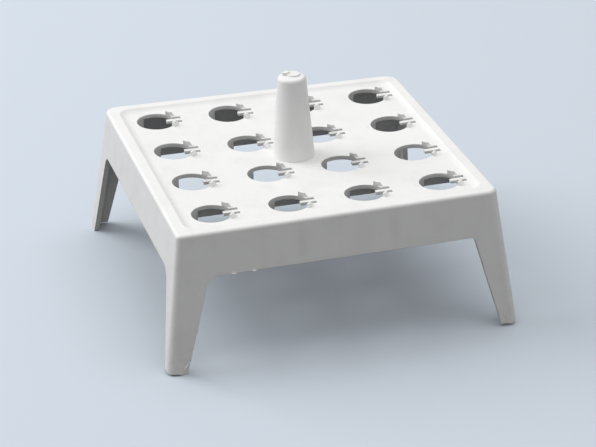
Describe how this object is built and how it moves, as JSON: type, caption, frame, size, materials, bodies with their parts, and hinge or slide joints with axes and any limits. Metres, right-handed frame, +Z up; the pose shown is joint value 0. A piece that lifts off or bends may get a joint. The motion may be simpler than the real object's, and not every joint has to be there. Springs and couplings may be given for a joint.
{
  "type": "microcentrifuge tube rack",
  "caption": "White moulded rack for small laboratory tubes: a square plate of sprung holes on splayed corner legs, with a tapered handle post.",
  "frame": {"origin": "centre of the footprint, at the level of the feet", "axes": "+Z up along the handle post; -Y is the front skirt, where two slivers of flash hang; +X is the side that every spring finger grows from"},
  "size_m": [0.102, 0.1016, 0.0634],
  "materials": {
    "white_plastic": "satin"
  },
  "bodies": {
    "root": {"rack": "white_plastic"}
  },
  "joints": []
}
